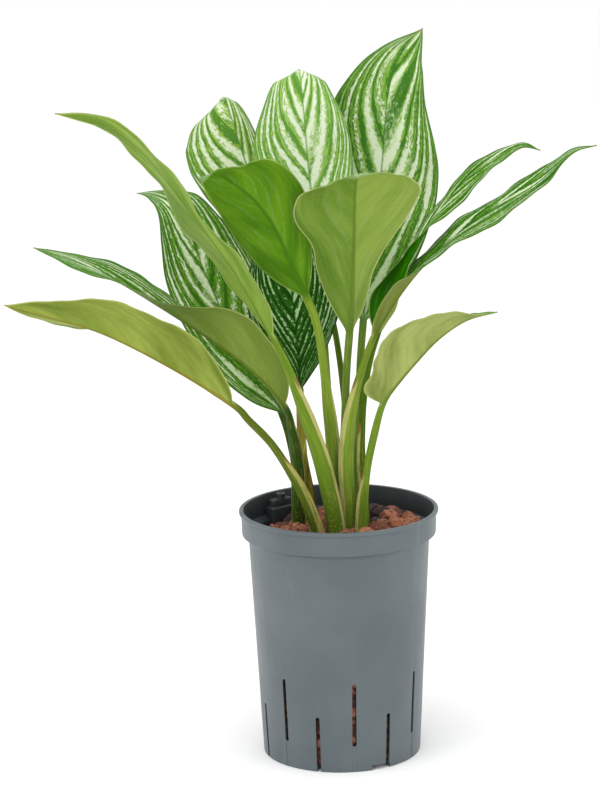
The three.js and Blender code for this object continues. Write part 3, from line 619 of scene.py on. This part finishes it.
def under_face(f, look, at, cream, seed):
    """Soft olive with darker side veins and midrib, a pale edge, a hint of the bands, and painted light and
    shade that lightens one half and darkens the other.
    """
    vein, along = at["vein"], at["along"]
    shade = f.noise(f.point(vein * 5, along * 3, at["side"] * 3 + seed), detail=3)
    # Painted light and shade: one half of the under face is made lighter and the other darker.
    shade = f.step(0.2, 0.8, shade + at["side"] * look["lean"])
    veins = f.step(0.95, 1.0, f.maths("SINE", vein * (VEIN_COUNT * TURN)))
    colour = f.mix(shade, tint(look["under"]), tint(look["light"]))
    colour = f.mix(cream * 0.05, colour, tint(look["cream"]))
    colour = f.mix(veins * 0.25, colour, tint(look["rib"]))
    colour = f.mix(f.step(2.2, 1.1, at["aside"] + along) * 0.8, colour, tint(look["rib"]))
    return f.mix(f.step(1.3, 0.5, at["inset"]) * 0.75, colour, tint(look["edge"]))


def stalk_skin(f, look, at, sheath, seed):
    """Streaked green, darker and specked at the foot, with a pale margin that ends in a dry tip."""
    across, along = at["across"], at["along"]
    streak = f.noise(f.point(across * 4, along * 5, seed), detail=3)
    mottle = f.noise(f.point(across * 7, along * 9, seed + 3), detail=4, roughness=0.65)
    speck = f.step(0.66, 0.72, f.noise(f.point(across * 16, along * 70, seed), detail=1))
    colour = f.mix(f.step(0.3, 0.7, streak) * 0.5, tint(look["stalk"]), tint(look["foot"]))
    colour = f.mix(f.step(-0.45, -1.0, along) * 0.75, colour, tint(look["foot"]))
    colour = f.mix(f.step(0.52, 0.68, mottle) * 0.45, colour, tint("a9a24c"))
    colour = f.mix(speck * f.step(-0.5, -0.9, along) * 0.8, colour, tint("d6d59a"))
    if look["brown"]:
        scorch = f.step(0.55, 0.15, f.maths("ABSOLUTE", across + 0.15)) * f.step(0.3, 0.55, streak)
        colour = f.mix(scorch * f.step(-0.3, -0.45, along), colour, tint("5b3d1c"))
    end = sheath - 1
    outward = across * look["side"] if look["side"] else at["reach"]
    margin = f.step(look["start"], look["start"] + 0.15, outward) * f.step(end, end - 0.06, along)
    colour = f.mix(margin * f.step(0.3, 0.5, mottle) * 0.85, colour, tint(look["margin"]))
    dry_tip = f.step(end - 0.07, end - 0.04, along) * f.step(end, end - 0.02, along)
    return f.mix(f.step(0.8, 0.95, at["reach"]) * dry_tip * 0.8, colour, tint("86603c"))


def leaf_finish(name, look, sheath, blade_length, seed):
    """Banded upper face, olive under face, sheathed stalk and a brown tip."""
    f = Finish(f"{name}_finish", 0.42, Specular_IOR_Level=look["gloss"])
    at = {key: f.attribute(key) for key in LEAF_VALUES}
    at["side"] = f.maths("SIGN", at["across"])
    at["reach"] = f.maths("ABSOLUTE", at["across"])
    at["aside"] = f.maths("ABSOLUTE", at["aside"])
    upper, cream = upper_face(f, look, at, blade_length, seed)
    blade = f.mix(at["under"], upper, under_face(f, look, at, cream, seed))
    surface = f.mix(f.step(-0.04, 0.03, at["along"]), stalk_skin(f, look, at, sheath, seed), blade)
    f.set("Base Color", f.mix(f.step(0.975, 0.995, at["along"]) * 0.8, surface, tint("8c8248")))
    f.set("Roughness", at["under"] * 0.14 + 0.4)
    grain = f.noise(f.point(at["band"] * blade_length, at["along"] * (blade_length * 0.3), seed), detail=3)
    f.bump(grain, 0.25)
    return f


def pot_finish():
    """Satin grey plastic with faint scuffs, and painted shade that colours the inside dark grey."""
    f = Finish("pot_finish", 0.45)
    place = f.place()
    x, y, z = f.parts(place)
    radius = f.maths("SQRT", x * x + y * y)
    wall = z / (WALL_TOP * MM) * ((WALL_TOP_RADIUS - BASE_RADIUS) * MM) + (BASE_RADIUS - WALL * 0.5) * MM
    inside = f.step(0.0006, -0.0002, radius - wall) * f.step(0.006, 0.008, z)
    collar = f.step((COLLAR_RADIUS - 1.0) * MM, (COLLAR_RADIUS - 1.6) * MM, radius) * f.step(
        (LEDGE_HEIGHT - 3) * MM, (LEDGE_HEIGHT - 2) * MM, z)
    # Painted shade: the inner wall below the collar and the collar's inner face are coloured dark grey.
    painted_inner_shade = f.maths("MAXIMUM", inside * f.step((COLLAR_BOTTOM + 1) * MM, COLLAR_BOTTOM * MM, z), collar)
    cloud = f.noise(place, scale=16, detail=3)
    outside = f.mix(f.step(0.3, 0.7, cloud), tint("505a5e"), tint("5a6468"))
    scuff = f.noise(f.point(x * 60, y * 60, z * 14), detail=4, roughness=0.7)
    outside = f.mix(f.step(0.62, 0.75, scuff) * 0.18, outside, tint("868f92"))
    f.set("Base Color", f.mix(painted_inner_shade, outside, tint("30383c")))
    f.set("Roughness", f.step(0.3, 0.7, scuff) * 0.12 + 0.4)
    f.bump(f.noise(place, scale=900, detail=2), 0.05)
    return f


def clay_finish():
    """Fired clay granules: red brown, pitted with near black."""
    f = Finish("clay_finish", 0.9)
    place = f.place()
    batch = f.attribute("batch")
    spots = f.noise(place, scale=260, detail=4, roughness=0.65)
    pits = f.noise(place, scale=620, detail=3, roughness=0.6)
    colour = f.mix(batch, tint("693727"), tint("bd7858"))
    colour = f.mix(f.step(0.55, 0.75, spots) * 0.7, colour, tint("d3a07f"))
    colour = f.mix(f.step(0.46, 0.38, spots) * 0.9, colour, tint("331b14"))
    colour = f.mix(f.step(0.44, 0.36, pits) * 0.95, colour, tint("120c0a"))
    colour = f.mix(f.step(0.74, 0.8, batch) * f.step(0.32, 0.5, spots), colour, tint("33272a"))
    f.set("Base Color", colour)
    f.bump(spots * 0.6 + pits * 0.4, 2.0)
    return f


def cane_finish():
    """Cane bark: olive, ringed where old leaves fell."""
    f = Finish("cane_finish", 0.75)
    place = f.place()
    _, _, z = f.parts(place)
    fibre = f.noise(place, scale=220, detail=4)
    rings = f.maths("SINE", z * (TURN / (7 * MM)) + fibre * 2)
    colour = f.mix(fibre, tint("5f6a2a"), tint("9a9a56"))
    colour = f.mix(f.step(0.6, 0.95, rings), colour, tint("6b5230"))
    f.set("Base Color", colour)
    f.bump(rings * 0.2 + fibre, 0.5)
    return f


def turned(outline, steps):
    """Mesh spun about the z axis from a closed outline of radius and height."""
    bm = bmesh.new()
    verts = [bm.verts.new((radius * MM, 0, height * MM)) for radius, height in outline]
    edges = [bm.edges.new(pair) for pair in zip(verts, verts[1:])]
    edges.append(bm.edges.new((verts[-1], verts[0])))
    bmesh.ops.spin(bm, geom=verts + edges, cent=(0, 0, 0), axis=(0, 0, 1), angle=TURN, steps=steps,
                   use_merge=True, use_duplicate=False)
    bmesh.ops.remove_doubles(bm, verts=bm.verts, dist=0.01 * MM)
    bmesh.ops.recalc_face_normals(bm, faces=bm.faces)
    return bm


def wall_radius(z):
    """Outer radius of the pot's wall at a height."""
    return BASE_RADIUS + (WALL_TOP_RADIUS - BASE_RADIUS) * z / WALL_TOP


def pot_outline():
    """Outline from the middle of the underside, up the outside, over the lip, to the middle of the floor."""
    inner = [wall_radius(z) - WALL for z in (LEDGE_HEIGHT - 3.4, FLOOR_TOP + 1, FLOOR_TOP)]
    return [
        (0, 0), (16, 0), (17, FLOOR_UNDER), (55, FLOOR_UNDER), (56.2, 0), (59.4, 0), (59.9, 0.25),
        (BASE_RADIUS + 0.05, 0.9), (WALL_TOP_RADIUS, WALL_TOP), (WALL_TOP_RADIUS + 0.5, WALL_TOP + 1.0),
        (COLLAR_RADIUS - 1.4, COLLAR_BOTTOM - 0.5), (COLLAR_RADIUS - 0.5, COLLAR_BOTTOM + 0.1),
        (COLLAR_RADIUS - 0.35, COLLAR_BOTTOM + 1.0), (COLLAR_RADIUS, POT_HEIGHT - 3.2),
        (LIP_RADIUS - 0.4, POT_HEIGHT - 2.7), (LIP_RADIUS - 0.08, POT_HEIGHT - 2.0),
        (LIP_RADIUS, POT_HEIGHT - 1.1), (LIP_RADIUS - 0.25, POT_HEIGHT - 0.35),
        (LIP_RADIUS - 0.9, POT_HEIGHT), (LIP_RADIUS - 2.6, POT_HEIGHT),
        (LIP_RADIUS - 3.3, POT_HEIGHT - 0.25), (LIP_RADIUS - 3.6, POT_HEIGHT - 0.9),
        (COLLAR_RADIUS - WALL - 0.3, LEDGE_HEIGHT + 0.6), (COLLAR_RADIUS - WALL - 0.9, LEDGE_HEIGHT),
        (inner[0], LEDGE_HEIGHT - 2.6), (inner[1], FLOOR_TOP + 0.8), (inner[2] - 1, FLOOR_TOP),
        (0, FLOOR_TOP),
    ]


def block(bm, size, centre, turn, rounding=0.0, tilt=0.0):
    """Box with its x side pointing away from the pot's axis, turned about z by degrees."""
    made = bmesh.ops.create_cube(bm, size=1)["verts"]
    bmesh.ops.scale(bm, vec=Vector(size) * MM, verts=made)
    if rounding:
        edges = list({edge for vert in made for edge in vert.link_edges})
        rounded = bmesh.ops.bevel(bm, geom=edges, offset=rounding * MM, segments=4, profile=0.5,
                                  affect="EDGES", material=-1)
        made = list({vert for face in rounded["faces"] for vert in face.verts})
    spot = Matrix.Translation(Vector(centre) * MM) @ Matrix.Rotation(tilt, 4, "Y")
    bmesh.ops.transform(bm, matrix=Matrix.Rotation(math.radians(turn), 4, "Z") @ spot, verts=made)


def slots():
    """Angle from +X in degrees, lowest and highest point of each slot, high and low in turn."""
    for index in range(SLOT_COUNT):
        bottom, top = HIGH_SLOT if index % 2 == 0 else LOW_SLOT
        yield SLOT_FIRST_ANGLE + index * 360 / SLOT_COUNT - 90, bottom, top


def slot_cutters():
    """Round ended prisms through the wall."""
    bm = bmesh.new()
    for angle, bottom, top in slots():
        end = bmesh.ops.create_circle(bm, cap_ends=True, segments=20, radius=SLOT_WIDTH / 2 * MM)["verts"]
        for vert in end:
            vert.co.y += (top - SLOT_WIDTH / 2 if vert.co.y > 0 else bottom + SLOT_WIDTH / 2) * MM
        face = list({face for vert in end for face in vert.link_faces})
        out = bmesh.ops.extrude_face_region(bm, geom=face)["geom"]
        moved = [item for item in out if isinstance(item, bmesh.types.BMVert)]
        bmesh.ops.translate(bm, vec=(0, 0, 16 * MM), verts=moved)
        stand = Matrix.Rotation(math.radians(angle), 4, "Z") @ Matrix.Translation((54 * MM, 0, 0))
        stand = stand @ Euler((math.radians(90), 0, math.radians(90))).to_matrix().to_4x4()
        bmesh.ops.transform(bm, matrix=stand, verts=end + moved)
    bmesh.ops.recalc_face_normals(bm, faces=bm.faces)
    return bm


def recess_cutters():
    """Thin blocks that press a shallow line into the wall under each high slot."""
    bm = bmesh.new()
    slope = math.atan((WALL_TOP_RADIUS - BASE_RADIUS) / WALL_TOP)
    for angle, bottom, _ in slots():
        if bottom > 0:
            height = bottom + 3
            middle = height / 2 - 4
            block(bm, (4, SLOT_WIDTH, height), (wall_radius(middle) - RECESS_DEPTH + 2, 0, middle), angle,
                  tilt=slope)
    return bm


def notch_cutters():
    """Blocks that cut the two notches in the foot ring."""
    bm = bmesh.new()
    for angle in FOOT_NOTCH_ANGLES:
        block(bm, (12, FOOT_NOTCH_WIDTH, 2 * FOOT_NOTCH_HEIGHT), (60, 0, 0), angle - 90)
    return bm


def temporary(name, bm):
    """Stand-in for a boolean cut. It is removed afterwards."""
    mesh = bpy.data.meshes.new(name)
    bm.to_mesh(mesh)
    bm.free()
    thing = bpy.data.objects.new(name, mesh)
    bpy.context.scene.collection.objects.link(thing)
    return thing


def combine(body, other, operation):
    """The body's mesh less the other's, or only what both hold. Both stand-ins are removed."""
    shell = temporary("body", body)
    tool = temporary("tool", other)
    boolean = shell.modifiers.new("combine", "BOOLEAN")
    boolean.operation = operation
    boolean.solver = "EXACT"
    boolean.object = tool
    seen = shell.evaluated_get(bpy.context.evaluated_depsgraph_get())
    result = bmesh.new()
    result.from_mesh(seen.to_mesh())
    for thing in (shell, tool):
        bpy.data.objects.remove(thing)
    return result


def housing_room():
    """Room inside the pot that the housing may fill: it ends halfway through the wall."""
    low = HOUSING_BOTTOM - 10
    return turned([(0, low), (wall_radius(low) - WALL / 2, low),
                   (WALL_TOP_RADIUS - WALL / 2, COLLAR_BOTTOM + 1), (HOUSING_REACH, COLLAR_BOTTOM + 3),
                   (HOUSING_REACH, HOUSING_TOP + 1), (0, HOUSING_TOP + 1)], POT_STEPS)


def gather(bm, other):
    """Adds the other mesh to the first."""
    mesh = bpy.data.meshes.new("gathered")
    other.to_mesh(mesh)
    other.free()
    bm.from_mesh(mesh)
    bpy.data.meshes.remove(mesh)


def pot_mesh():
    """Pot with its slots, recesses and notches, and the stepped gauge housing with its tube."""
    bm = turned(pot_outline(), POT_STEPS)
    for cutter in (slot_cutters(), recess_cutters(), notch_cutters()):
        bm = combine(bm, cutter, "DIFFERENCE")
    for inner, width, bottom, top in (
            (HOUSING_INNER, HOUSING_WIDTH, HOUSING_BOTTOM, HOUSING_STEP),
            (HOUSING_INNER + HOUSING_SETBACK, HOUSING_WIDTH - 2 * HOUSING_SETBACK, HOUSING_BOTTOM + 4,
             HOUSING_TOP)):
        depth = HOUSING_OUTER - inner
        step = bmesh.new()
        block(step, (depth, width, top - bottom), (inner + depth / 2, 0, (top + bottom) / 2), HOUSING_ANGLE,
              rounding=HOUSING_ROUNDING)
        bmesh.ops.recalc_face_normals(step, faces=step.faces)
        gather(bm, combine(step, housing_room(), "INTERSECT"))
    sunk = HOUSING_TOP - 4
    tube = turned([(TUBE_BORE, sunk), (TUBE_RADIUS, sunk), (TUBE_RADIUS, TUBE_TOP - 0.4),
                   (TUBE_RADIUS - 0.4, TUBE_TOP), (TUBE_BORE + 0.3, TUBE_TOP),
                   (TUBE_BORE, TUBE_TOP - 0.3)], 32)
    turn = Matrix.Rotation(math.radians(HOUSING_ANGLE), 4, "Z")
    bmesh.ops.transform(tube, matrix=turn @ Matrix.Translation(((HOUSING_INNER + TUBE_SETBACK) * MM, 0, 0)),
                        verts=tube.verts)
    gather(bm, tube)
    return bm


def add_pebble(bm, chance, layer, centre, radius, divisions):
    """Lumpy granule, squashed and turned at random."""
    made = bmesh.ops.create_icosphere(bm, subdivisions=divisions, radius=1)["verts"]
    squash = Vector([radius * (0.82 + 0.34 * chance.random()) for _ in range(2)] + [
        radius * (0.72 + 0.24 * chance.random())])
    spin = Euler([TURN * chance.random() for _ in range(3)]).to_matrix()
    offset = Vector([50 * chance.random() for _ in range(3)])
    batch = chance.random()
    for vert in made:
        way = vert.co.normalized()
        lump = 1 + 0.2 * noise.noise(way * 1.6 + offset) + 0.1 * noise.noise(way * 4.5 + offset)
        lump += 0.05 * noise.noise(way * 10 + offset)
        vert.co = (Vector(centre) + spin @ (way * lump * squash)) * MM
        vert[layer] = batch


def clay_mesh():
    """Core of packed granules, a heaped top layer, and granules behind each slot."""
    chance = random.Random(CLAY_SEED)
    inner = [wall_radius(z) - WALL - GAP for z in (FLOOR_TOP, FLOOR_TOP + 2, CLAY_LEVEL - 3)]
    bm = turned([(0, FLOOR_TOP + GAP), (inner[0] - 3.5, FLOOR_TOP + GAP), (inner[1] - 2, FLOOR_TOP + 2),
                 (inner[2] - 2, CLAY_LEVEL - 3), (0, CLAY_LEVEL - 3)], 56)
    layer = bm.verts.layers.float.new("batch")
    for ring in range(PEBBLE_RINGS):
        radius = 5 + ring * PEBBLE_PITCH
        count = round(TURN * radius / PEBBLE_PITCH)
        for index in range(count):
            angle = TURN * (index + 0.5 * chance.random()) / count + ring
            size = chance.uniform(*PEBBLE_RADIUS)
            reach = min(radius + 2.5 * (chance.random() - 0.5), PEBBLE_REACH - size)
            x = reach * math.cos(angle)
            y = reach * math.sin(angle)
            z = CLAY_LEVEL + 1.8 + HEAP_SLOPE[0] * x + HEAP_SLOPE[1] * y + PEBBLE_UNEVENNESS * (
                chance.random() - 0.5)
            add_pebble(bm, chance, layer, (x, y, z), size, 3)
    for angle, bottom, top in slots():
        turn = math.radians(angle)
        z = max(bottom, FLOOR_TOP) + 4
        while z < top + 3:
            size = chance.uniform(*SLOT_PEBBLE_RADIUS)
            reach = wall_radius(z) - WALL - GAP - size * 0.95
            bend = turn + 0.03 * (chance.random() - 0.5)
            add_pebble(bm, chance, layer, (reach * math.cos(bend), reach * math.sin(bend), z), size, 2)
            z += SLOT_PEBBLE_PITCH * chance.uniform(0.7, 1.05)
    return bm


def cane_mesh(x, y, bottom, top, radius):
    """Short stem with raised rings."""
    rows = 40
    outline = [(0, bottom)]
    for row in range(rows + 1):
        share = row / rows
        z = bottom + share * (top - bottom)
        taper = (0.72 + 0.28 * smooth(0, 0.2, share)) * (1 - 0.6 * smooth(0.85, 1, share))
        outline.append((radius * taper * (0.96 + 0.04 * math.cos(z * TURN / 7)), z))
    outline.append((0, top))
    bm = turned(outline, 40)
    bmesh.ops.translate(bm, vec=(x * MM, y * MM, 0), verts=bm.verts)
    return bm


def make_plant():
    """Thirteen leaves and the two canes they clasp."""
    for number, (name, leaf) in enumerate(LEAVES.items()):
        bm, blade_length = leaf_mesh(leaf)
        look = {**PLAIN_LOOK, **LOOKS[name]}
        finish = leaf_finish(name, look, leaf["sheath"], blade_length, 11.3 * (number + 1))
        show(f"{name}_fine", bm, finish, "leaf", name)
    bark = cane_finish()
    for name, sizes in CANES.items():
        show(f"cane_{name}_fine", cane_mesh(*sizes), bark, "cane", f"cane_{name}")


def make_pot():
    """The pot and the clay granules in it."""
    show("pot_moulding", pot_mesh(), pot_finish(), "pot_plastic", "pot", sharp=32)
    show("clay_heap", clay_mesh(), clay_finish(), "clay_granules", "clay_granules")


def make_studio():
    """Pale floor, pale sky and soft lights from above, in front and beside."""
    scene = bpy.context.scene
    scene.view_settings.view_transform = "Standard"
    bm = bmesh.new()
    bmesh.ops.create_circle(bm, cap_ends=True, segments=96, radius=FLOOR_RADIUS)
    mesh = bpy.data.meshes.new("floor")
    bm.to_mesh(mesh)
    bm.free()
    paper = Finish("floor_finish", 0.9)
    paper.set("Base Color", FLOOR_WHITE)
    mesh.materials.append(paper.material)
    floor = bpy.data.objects.new("floor", mesh)
    scene.collection.objects.link(floor)
    world = bpy.data.worlds.new("pale_sky")
    world.use_nodes = True
    world.node_tree.nodes["Background"].inputs["Color"].default_value = (1, 1, 1, 1)
    world.node_tree.nodes["Background"].inputs["Strength"].default_value = SKY_STRENGTH
    scene.world = world
    for name, place, size, energy in LIGHTS:
        light = bpy.data.lights.new(name, "AREA")
        light.energy = energy
        light.size = size
        lamp = bpy.data.objects.new(name, light)
        lamp.location = place
        lamp.rotation_euler = (Vector(LIGHT_AIM) - Vector(place)).to_track_quat("-Z", "Y").to_euler()
        scene.collection.objects.link(lamp)


def make_camera():
    """Camera fitted to the photograph's view of the pot."""
    data = bpy.data.cameras.new("camera")
    data.sensor_fit = "VERTICAL"
    data.sensor_height = SENSOR_HEIGHT
    data.lens = FOCAL_LENGTH_PIXELS / IMAGE_HEIGHT_PIXELS * SENSOR_HEIGHT
    data.clip_end = 100
    camera = bpy.data.objects.new("camera", data)
    turn = Matrix.Rotation(CAMERA_YAW, 4, "Z") @ Matrix.Rotation(math.pi / 2 - CAMERA_PITCH, 4, "X")
    camera.matrix_world = Matrix.Translation(Vector(CAMERA_PLACE) * MM) @ turn @ Matrix.Rotation(
        CAMERA_ROLL, 4, "Z")
    bpy.context.scene.collection.objects.link(camera)
    bpy.context.scene.camera = camera


make_camera()
make_studio()
make_pot()
make_plant()
